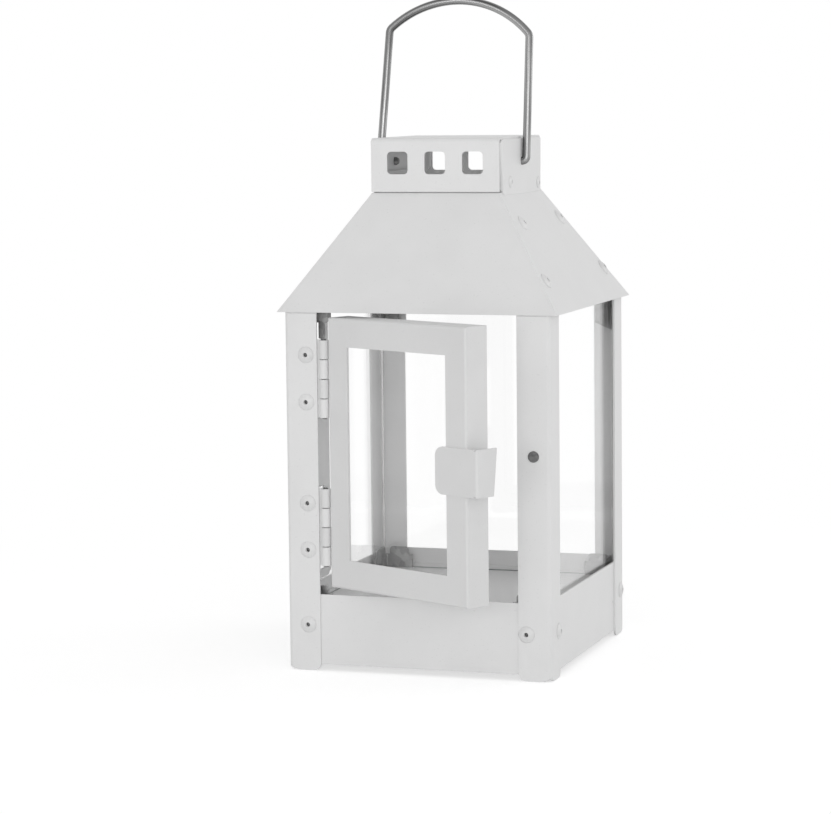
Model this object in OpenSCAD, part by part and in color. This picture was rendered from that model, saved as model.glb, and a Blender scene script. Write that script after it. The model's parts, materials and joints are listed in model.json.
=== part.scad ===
// Small square candle lantern of folded sheet metal with a hinged door and a wire handle.
// Millimetres. X runs right along the front, the door faces -Y and Z is up.
// The origin lies on the ground in the middle between the four feet.
// The door stands open and the handle leans back a little, as the lantern was found.

/* [Frame] */
// Width over the posts
frame_w = 108; // [106:0.5:110]
// Depth over the posts
frame_d = 114; // [112:0.5:116]
// Thickness of the sheet
sheet = 0.8; // [0.75:0.05:0.85]
// Width of each post flange
post_flange = 13.3; // [13:0.1:13.6]
// Outer radius of the post bend
post_bend = 1.6; // [1.3:0.1:1.9]
// Radius of the rounded corners at the feet
foot_round = 3; // [2:0.5:4]
// Depth of the return beside the hinges
jamb_depth = 12.4; // [12:0.1:12.8]
// Height of the lower end of that return
jamb_z = 38.5; // [37.5:0.5:39.5]
// Depth of its notches for the hinges
jamb_notch = 6.8; // [6.4:0.1:7.2]

/* [Base] */
// Height of the lower edge of the base panels
base_z = 2.4; // [1.5:0.1:4]
// Height of the upper edge of the front base panel
base_front_top = 30.5; // [29.5:0.1:31]
// Height of the upper edge of the side base panels
base_side_top = 31.4; // [30:0.1:32]
// Height of the upper edge of the back base panel
base_back_top = 32.7; // [31:0.1:33.4]
// Height of the floor a candle stands on
floor_z = 24.5; // [24:0.1:25]
// Height of the upturned edge over the floor
floor_lip = 1.6; // [1.2:0.1:2]

/* [Glass] */
// Thickness of the panes
pane_t = 2; // [1.8:0.1:2.2]
// Height of the upper edge of the fixed panes
pane_top = 143; // [141:0.5:144]
// Overlap of the door pane behind the window edges
pane_lap = 4.3; // [3.8:0.1:4.5]

/* [Corner brackets] */
// Length of the bracket leg along the back or front
bracket_len_x = 12.3; // [11:0.1:12.5]
// Length of the bracket leg along the side
bracket_len_y = 15.8; // [14.5:0.1:17]
// Height of the bracket wall over the floor
bracket_wall = 5.6; // [5:0.1:6]
// Height of the bracket tabs over the wall
bracket_tab = 3.3; // [2.8:0.1:3.4]
// Length of the legs of the upper clips
clip_len = 7.1; // [6.5:0.1:7.4]
// Height of the lower end of the upper clips
clip_z = 128; // [126:0.5:130]
// Reach of the arm of the front left clip from its corner
clip_arm = 13; // [12.6:0.1:13.2]

/* [Roof] */
// Height of the eave
eave_z = 142.3; // [141.5:0.1:144]
// Overhang of the roof past the posts at the sides
eave_out_x = 3; // [2:0.5:4]
// Overhang of the roof past the posts at the front and back
eave_out_y = 0.6; // [0.3:0.1:1.4]
// Height of the roof where the cap stands
roof_top = 188; // [184:1:192]
// Width of the edge strips folded under the side panels
hip_flange = 13.5; // [13:0.1:14]

/* [Cap] */
// Half the cap width over the side pans
cap_half_x = 27.2; // [26.4:0.2:28]
// Half the cap depth
cap_half_y = 30; // [29:0.5:31]
// Height of the cap
cap_h = 21.6; // [21:0.1:22.5]
// Outer radius of the cover's upper folds
cap_bend = 2; // [1.6:0.1:2.4]
// Radius of the upper corners of the side pans
pan_round = 3; // [2.4:0.2:4]
// Outer radius of the bends between the side pans and their flanges
pan_bend = 1.6; // [1:0.1:2.2]
// Depth of the pan flanges under the cover
pan_flange = 6; // [5:0.2:6.4]
// Width of the vent holes
vent_w = 8.5; // [7.5:0.1:9]
// Height of the vent holes
vent_h = 8.9; // [8:0.1:9.5]
// Corner radius of the vent holes
vent_round = 1.6; // [1:0.1:2.4]
// Distance between the vent holes
vent_pitch = 15.5; // [15:0.1:15.8]
// Height of the vent holes over the cap's lower edge
vent_up = 11.8; // [11:0.1:12.2]

/* [Handle] */
// Radius of the handle wire
wire_r = 1.6; // [1.5:0.01:1.62]
// Height of the handle's pivots over the cap's lower edge
pivot_up = 11.8; // [11:0.1:12]
// Height of the handle over its pivots, on the wire's axis
bail_h = 64.6; // [60:0.2:68]
// Radius of the left part of the arch
arch_left = 41.9; // [41.6:0.1:42.4]
// Radius of the right part of the arch
arch_right = 39.6; // [39.5:0.1:40]
// Radius of the left shoulder
shoulder_left = 3; // [2.6:0.1:3.4]
// Radius of the right shoulder
shoulder_right = 3.5; // [3.2:0.1:4]
// Outward lean of the left leg in degrees
leg_splay = 3; // [2.6:0.1:3.2]
// Radius of the bends at the legs' lower ends
leg_bend = 1.65; // [1.64:0.01:1.68]
// Shift of the handle to the left by its side play
bail_shift = 1.28; // [1.2:0.01:1.3]
// Lean of the handle to the back in degrees
handle_lean = 6.5; // [0:0.5:20]

/* [Door] */
// Gap between the base and the door
door_gap_low = 3.35; // [2.9:0.05:4]
// Gap between the door and the eave
door_gap_top = 1.9; // [1.6:0.1:2.4]
// Gap at the door's free edge when it is shut
door_gap_free = 1.13; // [1.1:0.01:1.3]
// Depth of the door's returns
door_depth = 11.5; // [11:0.1:11.6]
// Width of the door face beside the window, hinge side
stile_hinge = 10.2; // [10:0.1:11]
// Width of the door face beside the window, free side
stile_free = 10.8; // [10.4:0.1:11.4]
// Height of the door face over the window
rail_top = 11.1; // [10.5:0.1:12]
// Height of the door face under the window
rail_low = 11.6; // [11:0.1:12.5]
// Outer radius of the bends round the door's face
door_bend = 1.2; // [1:0.1:1.4]
// How far the door stands open, in degrees
door_open = 27.2; // [7.2:0.2:165]

/* [Latch tab] */
// Height of the tab
tab_h = 18.2; // [16:0.2:20]
// Height of the middle of the tab
tab_mid = 85.6; // [84:0.2:88]
// Reach of the tab on the stile from the free edge
tab_in = 15.9; // [15:0.1:16.5]
// Reach of the tab past the free edge
tab_out = 6.3; // [5.8:0.1:6.6]
// Depth of the tab's outer leg at its upper end
tab_leg_top = 10.8; // [10.4:0.1:11]
// Depth of the tab's outer leg at its lower end
tab_leg_low = 9; // [8.6:0.1:9.8]
// Radius of the tab's rounded corners
tab_round = 3.7; // [3:0.1:4.5]
// Outer radius of the tab's fold
tab_bend = 1.3; // [1:0.1:1.6]

/* [Hinges] */
// Distance of the hinge axis from the post flange
hinge_out = 3.07; // [2.9:0.01:3.2]
// Distance of the hinge axis from the door's edge
hinge_gap = 2.6; // [2.5:0.05:2.8]
// Outer radius of the knuckles
knuckle_r = 1.82; // [1.81:0.01:1.84]
// Radius of the hinge pins
pin_r = 0.9; // [0.8:0.05:0.95]
// Height of each hinge
hinge_h = 30.8; // [30:0.2:32]
// Height of the lower end of the lower hinge
hinge_low = 42.2; // [41:0.2:44]
// Height of the lower end of the upper hinge
hinge_up = 100.85; // [100:0.05:101]
// Width of the post leaf
leaf_post = 12.2; // [11.6:0.2:12.4]
// Width of the door leaf
leaf_door = 6; // [5.6:0.1:6]

/* [Rivets and catch] */
// Radius of the rivet heads
head_r = 3.25; // [3:0.05:3.4]
// Height of the rivet heads
head_h = 1.15; // [1:0.05:1.3]
// Radius of the rivet shanks
shank_r = 1.6; // [1.4:0.05:1.7]
// Radius of the hole left by the rivet's mandrel
mandrel_r = 0.87; // [0.7:0.01:1]
// Radius of the smaller rivet heads on the cap
cap_head_r = 2.3; // [2.1:0.05:2.5]
// Height of those heads
cap_head_h = 0.85; // [0.7:0.05:1]
// Radius of their shanks
cap_shank_r = 1.2; // [1.1:0.05:1.3]
// Radius of the catch disc
catch_r = 2.2; // [2:0.1:2.3]
// How far the catch disc stands out of the post
catch_proud = 0.4; // [0.3:0.05:0.45]
// Height of the catch disc
catch_z = 87.85; // [86:0.05:89]

/* [Hidden] */
$fn = 48;
half_w = frame_w / 2;
half_d = frame_d / 2;
big = 400;
cut = 1;
// clearances
pin_fit = 0.05;
wire_fit = 0.08;
rivet_fit = 0.03;
knuckle_gap = 0.3;
turn_gap = 0.35;
notch_gap = 0.3;
pane_gap = 0.2;
roof_gap = 0.05;
cover_gap = 0.4;
panel_end_gap = 0.4;
// planes of the posts and panels, measured from the middle
post_in_x = half_w - sheet;
post_in_y = half_d - sheet;
panel_in_x = post_in_x - sheet;
panel_in_y = post_in_y - sheet;
pane_out_x = panel_in_x - sheet - pane_gap;
pane_out_y = panel_in_y - sheet - pane_gap;
pane_in_x = pane_out_x - pane_t;
pane_in_y = pane_out_y - pane_t;
// door opening
jamb_x = half_w - post_flange;
hinge_x = -jamb_x + hinge_out;
hinge_proud = 0.2;
hinge_y = -half_d - hinge_proud;
door_x = hinge_x + hinge_gap;
door_w = jamb_x - door_gap_free - door_x;
door_z = base_front_top + door_gap_low;
door_h = eave_z - door_gap_top - door_z;
leaf_y = -post_in_y;
leaf_tongue = knuckle_r + turn_gap;
// roof slopes, in degrees from upright
eave_half_x = half_w + eave_out_x;
eave_half_y = half_d + eave_out_y;
cap_in_x = cap_half_x - sheet;
cap_in_y = cap_half_y - sheet;
slope_x = atan((eave_half_x - cap_in_x) / (roof_top - eave_z));
slope_y = atan((eave_half_y - cap_in_y) / (roof_top - eave_z));
collar_h = 8;
collar_short = 3.7;
collar_half = cap_in_y - collar_short;
pivot_z = roof_top + pivot_up;
// rivets
wire_trim = 0.05;
wire_collar_up = 0.02;
wire_collar_len = 0.2;
grip = 2 * sheet;
tail_over = 0.7;
tail_h = 1.2;
base_rivet_z = 18.4;
base_rivet_left = 8.3;
base_rivet_right = 10;
base_rivet_front = 10.9;
base_rivet_back = 4.5;
hinge_rivet_edge = 8.7;
hinge_rivet_x = -half_w + hinge_rivet_edge;
hinge_rivet_in = 6.1;
// roof rivets: side (-1 front, 1 back), distance from the hip, height over the eave
roof_rivets = [[-1, 11.95, 33.7], [-1, 7.35, 12.3], [1, 6.65, 33.7], [1, 4.25, 12.3]];
// cap rivets: place along the pan, height over its lower edge
cap_rivets = [[-cap_half_y + 13.2, 3.95], [cap_half_y - 6.4, 2.4]];
cap_mandrel_r = 0.65;
catch_edge = 6.8;
catch_x = half_w - catch_edge;
catch_len = 2.2;
// handle: how far the wire's axis stands out from the pans at the shoulders, how far
// its ends reach inside them, and the turn of each half of the arch that follows
shoulder_out_left = 2.75;
shoulder_out_right = 1.8;
tip_in_left = 1.62;
tip_in_right = 5.08;
reach_left = cap_half_x - bail_shift + shoulder_out_left - shoulder_left * cos(leg_splay);
reach_right = cap_half_x + bail_shift + shoulder_out_right - shoulder_right;
turn_left = asin(reach_left / (arch_left - shoulder_left));
turn_right = asin(reach_right / (arch_right - shoulder_right));
tip_left = cap_in_x - bail_shift - tip_in_left;
tip_right = cap_in_x + bail_shift - tip_in_right;

// What is left of a square corner outside an arc of radius r, corner at the origin.
module corner_sliver(r) {
    difference() {
        translate([-cut, -cut]) square(r + cut);
        translate([r, r]) circle(r = r);
    }
}

// Square with its corner at the origin rounded.
module corner_square(size, r) {
    difference() {
        square(size);
        corner_sliver(r);
    }
}

// Rectangle with four rounded corners, centred.
module round_rect(w, h, r) {
    square([w - 2 * r, h], center = true);
    square([w, h - 2 * r], center = true);
    for (x = [-1, 1], y = [-1, 1]) translate([x * (w / 2 - r), y * (h / 2 - r)]) circle(r = r);
}

// Block from the origin with the four edges round its front rounded.
module front_rounded(w, d, h, r) {
    intersection() {
        linear_extrude(h) difference() {
            square([w, d]);
            corner_sliver(r);
            translate([w, 0]) mirror([1, 0]) corner_sliver(r);
        }
        stand_x(w) difference() {
            square([d, h]);
            corner_sliver(r);
            translate([0, h]) mirror([0, 1]) corner_sliver(r);
        }
    }
}

// Stands a flat shape up in the XZ plane, t thick toward +Y.
module stand_y(t) {
    translate([0, t, 0]) rotate([90, 0, 0]) linear_extrude(t) children();
}

// Stands a flat shape up in the YZ plane, t thick toward +X.
module stand_x(t) {
    rotate([90, 0, 90]) linear_extrude(t) children();
}

// Puts a corner piece, drawn with its outer corner at the origin and its legs
// along +X and +Y, at one of the four corners (sx, sy = -1 or 1).
module at_corner(sx, sy, x, y) {
    translate([sx * x, sy * y, 0])
        mirror([sx > 0 ? 1 : 0, 0, 0])
            mirror([0, sy > 0 ? 1 : 0, 0])
                children();
}

// Everything inside one roof plane, moved inward by off.
module inside_right(off) {
    translate([eave_half_x, 0, eave_z])
        rotate([0, -slope_x, 0])
            translate([-big - off, -big / 2, -big / 2]) cube(big);
}

module inside_front(off) {
    translate([0, -eave_half_y, eave_z])
        rotate([-slope_y, 0, 0])
            translate([-big / 2, off, -big / 2]) cube(big);
}

// Space under all four roof planes, front and back moved in by f, the sides by s.
module under_roof(f, s) {
    intersection() {
        inside_front(f);
        mirror([0, 1, 0]) inside_front(f);
        inside_right(s);
        mirror([1, 0, 0]) inside_right(s);
    }
}

// Level slice of the roof between the eave and the cap.
module roof_slice() {
    translate([-big / 2, -big / 2, eave_z]) cube([big, big, roof_top - eave_z]);
}

// Rivet places. The child is drawn with +Z pointing out and Z = 0 on the outer face.
module at_base_rivets() {
    for (x = [-half_w + base_rivet_left, half_w - base_rivet_right]) {
        translate([x, -half_d, base_rivet_z]) rotate([90, 0, 0]) children();
        translate([x, half_d, base_rivet_z]) rotate([-90, 0, 0]) children();
    }
    for (y = [-half_d + base_rivet_front, half_d - base_rivet_back]) {
        translate([half_w, y, base_rivet_z]) rotate([0, 90, 0]) children();
        translate([-half_w, y, base_rivet_z]) rotate([0, -90, 0]) children();
    }
}

module at_hinge_rivets() {
    for (z = [hinge_low, hinge_up], up = [hinge_rivet_in, hinge_h - hinge_rivet_in])
        translate([hinge_rivet_x, -half_d, z + up]) rotate([90, 0, 0]) children();
}

module at_roof_rivets_right() {
    for (p = roof_rivets)
        translate([eave_half_x - p[2] * tan(slope_x),
                   p[0] * (eave_half_y - p[2] * tan(slope_y) - p[1]), eave_z + p[2]])
            rotate([0, 90 - slope_x, 0]) children();
}

module at_cap_rivets_right() {
    for (p = cap_rivets)
        translate([cap_half_x, p[0], roof_top + p[1]]) rotate([0, 90, 0]) children();
}

module rivet_hole(shank = shank_r) {
    translate([0, 0, -grip - cut]) cylinder(r = shank + rivet_fit, h = grip + 2 * cut);
}

// Blind rivet: domed head with the mandrel's hole, shank, and the set tail inside.
module rivet(r = head_r, h = head_h, shank = shank_r, mandrel = mandrel_r) {
    dome_r = (r * r + h * h) / (2 * h);
    difference() {
        union() {
            intersection() {
                translate([0, 0, h - dome_r]) sphere(r = dome_r);
                cylinder(r = r, h = h + cut);
            }
            translate([0, 0, -grip]) cylinder(r = shank, h = grip + h / 2);
            translate([0, 0, -grip - tail_h]) cylinder(r = shank + tail_over, h = tail_h);
        }
        translate([0, 0, -sheet]) cylinder(r = mandrel, h = sheet + h + cut);
    }
}

module cap_rivet() rivet(cap_head_r, cap_head_h, cap_shank_r, cap_mandrel_r);

// Folded corner post with a rounded bend and rounded feet, cut off under the roof.
module post_blank() {
    difference() {
        linear_extrude(roof_top) difference() {
            corner_square(post_flange, post_bend);
            translate([sheet, sheet]) corner_square(post_flange, post_bend - sheet);
        }
        translate([post_flange, -cut, 0])
            stand_y(sheet + 2 * cut) mirror([1, 0]) corner_sliver(foot_round);
        translate([-cut, post_flange, 0])
            stand_x(sheet + 2 * cut) mirror([1, 0]) corner_sliver(foot_round);
    }
}

module post(sx, sy) {
    difference() {
        intersection() {
            at_corner(sx, sy, half_w, half_d) post_blank();
            under_roof(sheet, 2 * sheet);
        }
        at_base_rivets() rivet_hole();
    }
}

// Return folded back along the door opening, cut out where the hinges pass.
module jamb_return() {
    rear = -half_d + jamb_depth;
    top = door_z + door_h;
    bevel = 2.2;
    translate([-jamb_x - sheet, 0, 0]) stand_x(sheet) difference() {
        polygon([[-half_d, jamb_z], [rear, jamb_z], [rear, top],
                 [rear - bevel, top], [-half_d + jamb_notch, top - bevel],
                 [-half_d, top - bevel]]);
        translate([rear, jamb_z]) mirror([1, 0]) corner_sliver(foot_round);
        translate([-half_d - cut, hinge_low - notch_gap])
            square([jamb_notch + cut, hinge_h + 2 * notch_gap]);
        translate([-half_d - cut, hinge_up - notch_gap]) square([jamb_notch + cut, big]);
    }
}

module post_front_left() color("#dcdcde") {
    difference() {
        union() {
            post(-1, -1);
            jamb_return();
        }
        at_hinge_rivets() rivet_hole();
    }
}

module post_front_right() color("#dcdcde") {
    difference() {
        post(1, -1);
        translate([catch_x, -half_d - cut, catch_z])
            rotate([-90, 0, 0]) cylinder(r = catch_r + rivet_fit, h = sheet + 2 * cut);
    }
}

module post_back_left() color("#dcdcde") post(-1, 1);

module post_back_right() color("#dcdcde") post(1, 1);

// Base panels behind the post flanges.
module base_cross(sy, top) {
    difference() {
        translate([-panel_in_x, sy > 0 ? panel_in_y : -post_in_y, base_z])
            cube([2 * panel_in_x, sheet, top - base_z]);
        at_base_rivets() rivet_hole();
    }
}

module base_along(sx) {
    end = panel_in_y - panel_end_gap;
    difference() {
        translate([sx > 0 ? panel_in_x : -post_in_x, -end, base_z])
            cube([sheet, 2 * end, base_side_top - base_z]);
        at_base_rivets() rivet_hole();
    }
}

module base_front() color("#dfdfe1") base_cross(-1, base_front_top);

module base_back() color("#dfdfe1") base_cross(1, base_back_top);

module base_left() color("#dfdfe1") base_along(-1);

// The right panel has a tiny drip hole near its back end.
module base_right() color("#dfdfe1") {
    drip_y = 42.15;
    drip_z = 14.9;
    drip_r = 0.5;
    difference() {
        base_along(1);
        translate([panel_in_x - cut, drip_y, drip_z])
            rotate([0, 90, 0]) cylinder(r = drip_r, h = sheet + 2 * cut);
    }
}

module floor_plate() color("#cfcfd2") {
    difference() {
        translate([-panel_in_x, -panel_in_y, floor_z - sheet])
            cube([2 * panel_in_x, 2 * panel_in_y, sheet + floor_lip]);
        translate([-panel_in_x + sheet, -panel_in_y + sheet, floor_z])
            cube([2 * (panel_in_x - sheet), 2 * (panel_in_y - sheet), floor_lip + cut]);
    }
}

// Fixed panes, standing on the floor between its edge and the corner brackets.
module pane_left() color("#dfe8ea", 0.35) {
    translate([-pane_out_x, -pane_out_y, floor_z])
        cube([pane_t, pane_out_y + pane_in_y - pane_gap, pane_top - floor_z]);
}

module pane_right() color("#dfe8ea", 0.35) mirror([1, 0, 0]) pane_left();

module pane_back() color("#dfe8ea", 0.35) {
    translate([-pane_out_x, pane_in_y, floor_z])
        cube([2 * pane_out_x, pane_t, pane_top - floor_z]);
}

// Galvanised bracket in each lower corner: low wall with a raised tab on each leg.
module corner_bracket() {
    tab_from = 2.2;
    tab_end = 1.6;
    bend = 1.3;
    translate([0, 0, floor_z]) {
        linear_extrude(bracket_wall) intersection() {
            difference() {
                corner_square(bracket_len_x + bracket_len_y, bend);
                translate([sheet, sheet])
                    corner_square(bracket_len_x + bracket_len_y, bend - sheet);
            }
            union() {
                square([bracket_len_x, bend + sheet]);
                square([bend + sheet, bracket_len_y]);
            }
        }
        stand_y(sheet) bracket_tab_shape(tab_from, bracket_len_x - tab_end);
        stand_x(sheet) bracket_tab_shape(tab_from, bracket_len_y - tab_end);
    }
}

module bracket_tab_shape(from, to) {
    top = bracket_wall + bracket_tab;
    r = 1.5;
    difference() {
        translate([from, bracket_wall - cut]) square([to - from, bracket_tab + cut]);
        translate([from, top]) mirror([0, 1]) corner_sliver(r);
        translate([to, top]) rotate(180) corner_sliver(r);
    }
}

module corner_brackets() color("#7d7f82") {
    for (sx = [-1, 1], sy = [-1, 1]) at_corner(sx, sy, pane_in_x, pane_in_y) corner_bracket();
}

// Galvanised clip in each upper corner, cut off under the roof.
module corner_clip() {
    slant = 3;
    stand_y(sheet)
        polygon([[0, clip_z], [clip_len, clip_z + slant], [clip_len, roof_top], [0, roof_top]]);
    stand_x(sheet)
        polygon([[0, clip_z], [clip_len, clip_z + slant], [clip_len, roof_top], [0, roof_top]]);
}

module clip_arm_shape() {
    low = door_z + door_h - 2.4;
    high = eave_z;
    hook_from = 7.9;
    hook_to = 10.4;
    hook_low = 6.3;
    bevel = 1.6;
    polygon([[0, low], [hook_from, low], [hook_from, low - hook_low], [hook_to, low - hook_low],
             [hook_to, low], [clip_arm - bevel, low], [clip_arm, low + bevel],
             [clip_arm, high], [0, high]]);
}

module corner_clips() color("#7d7f82") {
    intersection() {
        union() {
            for (sx = [-1, 1], sy = [-1, 1])
                at_corner(sx, sy, pane_in_x, pane_in_y) corner_clip();
            at_corner(-1, -1, pane_in_x, pane_in_y) stand_y(sheet) clip_arm_shape();
        }
        under_roof(sheet, 2 * sheet);
    }
}

// Front or back roof panel: sloping sheet with its edges folded under the side panels.
module roof_cross() {
    intersection() {
        roof_slice();
        union() {
            intersection() {
                difference() {
                    inside_front(0);
                    inside_front(sheet);
                }
                inside_right(sheet);
                mirror([1, 0, 0]) inside_right(sheet);
            }
            hip_strip();
            mirror([1, 0, 0]) hip_strip();
        }
    }
}

module roof_rivet_holes() {
    at_roof_rivets_right() rivet_hole();
    mirror([1, 0, 0]) at_roof_rivets_right() rivet_hole();
}

// Strip under the side panel, as wide as the fold.
module hip_strip() {
    intersection() {
        difference() {
            inside_right(sheet);
            inside_right(2 * sheet);
        }
        difference() {
            inside_front(0);
            inside_front(hip_flange);
        }
    }
}

// Side roof panel with an upright collar that the cap's side pan is riveted to.
module roof_along() {
    difference() {
        union() {
            intersection() {
                roof_slice();
                difference() {
                    inside_right(0);
                    inside_right(sheet);
                }
                inside_front(0);
                mirror([0, 1, 0]) inside_front(0);
            }
            translate([cap_in_x - sheet, -collar_half, roof_top - 0.1])
                cube([sheet, 2 * collar_half, collar_h + 0.1]);
        }
        at_roof_rivets_right() rivet_hole();
        at_cap_rivets_right() rivet_hole(cap_shank_r);
    }
}

module roof_front() color("#d9d9db") {
    difference() {
        roof_cross();
        roof_rivet_holes();
    }
}

module roof_back() color("#d9d9db") {
    difference() {
        mirror([0, 1, 0]) roof_cross();
        roof_rivet_holes();
    }
}

module roof_left() color("#d6d6d8") mirror([1, 0, 0]) roof_along();

module roof_right() color("#d6d6d8") roof_along();

// Cap cover: one sheet folded over front, top and back, with three vents each way.
module cap_cover() color("#dddde0") {
    difference() {
        translate([-cap_in_x, 0, 0]) stand_x(2 * cap_in_x) difference() {
            cover_outline(cap_half_y, cap_h, cap_bend);
            cover_outline(cap_in_y, cap_h - sheet, cap_bend - sheet);
            translate([-cap_half_y - cut, roof_top - cut])
                square([2 * cap_half_y + 2 * cut, cover_gap + cut]);
        }
        for (x = [-vent_pitch, 0, vent_pitch])
            translate([x, -cap_half_y - cut, roof_top + vent_up])
                stand_y(2 * cap_half_y + 2 * cut) round_rect(vent_w, vent_h, vent_round);
    }
}

module cover_outline(half, h, r) {
    difference() {
        translate([-half, roof_top]) square([2 * half, h]);
        translate([-half, roof_top + h]) mirror([0, 1]) corner_sliver(r);
        translate([half, roof_top + h]) rotate(180) corner_sliver(r);
    }
}

// Side pan closing one end of the cap, its flanges under the cover.
// Solid shape of the right pan, its outer face at x = out, half wide along Y, with the
// upright bends rounded by r. Its foot runs down to the roof.
module pan_block(out, half, h, round, r) {
    drop = sheet / tan(slope_x);
    intersection() {
        translate([out - pan_flange - sheet, 0, 0]) stand_x(pan_flange + sheet) {
            cover_outline(half, h, round);
            translate([-half, roof_top - drop]) square([2 * half, drop + round]);
        }
        translate([out, 0, roof_top - drop]) linear_extrude(h + drop) difference() {
            translate([-pan_flange - sheet, -half])
                square([pan_flange + sheet, 2 * half]);
            translate([0, -half]) mirror([1, 0]) corner_sliver(r);
            translate([0, half]) rotate(180) corner_sliver(r);
        }
    }
}

module cap_pan() {
    low = 0.6;
    difference() {
        pan_block(cap_half_x, cap_in_y, cap_h - sheet, pan_round, pan_bend);
        pan_block(cap_in_x, cap_in_y - sheet, cap_h - 2 * sheet, pan_round - sheet,
                  pan_bend - sheet);
        translate([cap_in_x - pan_flange - cut, -cap_half_y, roof_top - big])
            cube([pan_flange + cut, 2 * cap_half_y, big + low]);
        inside_right(-roof_gap);
        translate([cap_in_x - cut, 0, pivot_z])
            rotate([0, 90, 0]) cylinder(r = wire_r + wire_fit, h = sheet + 2 * cut);
        at_cap_rivets_right() rivet_hole(cap_shank_r);
    }
}

module cap_side_right() color("#d7d7da") cap_pan();

module cap_side_left() color("#d7d7da") mirror([1, 0, 0]) cap_pan();

// Pieces of the wire in the XY plane, each a trace short of its ends: an arc of radius r
// about c from angle a to b, and a line from p. A thin collar along dir closes each joint.
module wire_arc(c, r, a, b) {
    trim = wire_trim / r * 180 / PI;
    translate([c[0], c[1], 0]) rotate([0, 0, a + trim])
        rotate_extrude(angle = b - a - 2 * trim) translate([r, 0]) circle(r = wire_r);
}

module wire_line(p, dir, len) {
    translate([p[0], p[1], 0]) rotate([0, 0, dir]) rotate([0, 90, 0])
        translate([0, 0, wire_trim]) cylinder(r = wire_r, h = len - 2 * wire_trim);
}

module wire_collar(p, dir) {
    translate([p[0], p[1], 0]) rotate([0, 0, dir]) rotate([0, 90, 0])
        cylinder(r = wire_r + wire_collar_up, h = wire_collar_len, center = true);
}

// Half of the handle from the middle of the arch to the inner tip, X outward, Y up.
// The arch turns by t degrees, then the shoulder runs into the leg.
module bail_half(arch, t, shoulder, splay, tip) {
    e = [arch * sin(t), bail_h - arch + arch * cos(t)];
    c = [e[0] - shoulder * sin(t), e[1] - shoulder * cos(t)];
    p = [c[0] + shoulder * cos(splay), c[1] + shoulder * sin(splay)];
    foot_y = leg_bend * (1 + sin(splay));
    foot_x = p[0] + (p[1] - foot_y) * tan(splay);
    f = [foot_x - leg_bend * cos(splay), leg_bend];
    wire_arc([0, bail_h - arch], arch, 90 - t, 90);
    wire_collar(e, -t);
    wire_arc(c, shoulder, splay, 90 - t);
    wire_collar(p, splay - 90);
    wire_line(p, splay - 90, (p[1] - foot_y) / cos(splay));
    wire_collar([foot_x, foot_y], splay - 90);
    wire_arc(f, leg_bend, -90, splay);
    wire_collar([f[0], 0], 0);
    wire_line([f[0], 0], 180, f[0] - tip);
}

module handle() color("#8b8d90") {
    translate([-bail_shift, 0, pivot_z]) rotate([90 - handle_lean, 0, 0]) {
        wire_collar([0, bail_h], 0);
        bail_half(arch_right, turn_right, shoulder_right, 0, tip_right);
        mirror([1, 0, 0]) bail_half(arch_left, turn_left, shoulder_left, leg_splay, tip_left);
    }
}

// Turns the door's parts, drawn shut, about the hinge axis.
module swung() {
    translate([hinge_x, hinge_y, 0]) rotate([0, 0, -door_open])
        translate([-hinge_x, -hinge_y, 0]) children();
}

// Door: pressed tray with a window, its hinge-side return cut out for the leaves.
module door_frame() color("#cdcdd0") swung() {
    difference() {
        translate([door_x, -half_d, door_z])
            front_rounded(door_w, door_depth, door_h, door_bend);
        translate([door_x + sheet, -post_in_y, door_z + sheet])
            front_rounded(door_w - 2 * sheet, door_depth, door_h - 2 * sheet,
                          door_bend - sheet);
        translate([door_x + stile_hinge, -half_d - cut, door_z + rail_low])
            cube([door_w - stile_hinge - stile_free, sheet + 2 * cut,
                  door_h - rail_low - rail_top]);
        for (z = [hinge_low, hinge_up])
            translate([door_x - cut, leaf_y, z - notch_gap])
                cube([sheet + 2 * cut, sheet + notch_gap, hinge_h + 2 * notch_gap]);
    }
}

module door_pane() color("#dfe8ea", 0.35) swung() {
    translate([door_x + stile_hinge - pane_lap, -post_in_y, door_z + rail_low - pane_lap])
        cube([door_w - stile_hinge - stile_free + 2 * pane_lap, pane_t,
              door_h - rail_low - rail_top + 2 * pane_lap]);
}

// Bent strips on the upper and lower returns that press on the door pane.
module door_clips() color("#7d7f82") swung() {
    clip_w = 8;
    clip_t = 0.6;
    clip_down = 8.4;
    clip_back = 6.5;
    from_end = 16;
    rear = -post_in_y + pane_t;
    for (x = [door_x + from_end, door_x + door_w - from_end - clip_w]) {
        translate([x, rear, door_z + door_h - sheet - clip_t])
            cube([clip_w, clip_back, clip_t]);
        translate([x, rear, door_z + door_h - sheet - clip_down])
            cube([clip_w, clip_t, clip_down]);
        translate([x, rear, door_z + sheet]) cube([clip_w, clip_back, clip_t]);
        translate([x, rear, door_z + sheet]) cube([clip_w, clip_t, clip_down]);
    }
}

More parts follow.
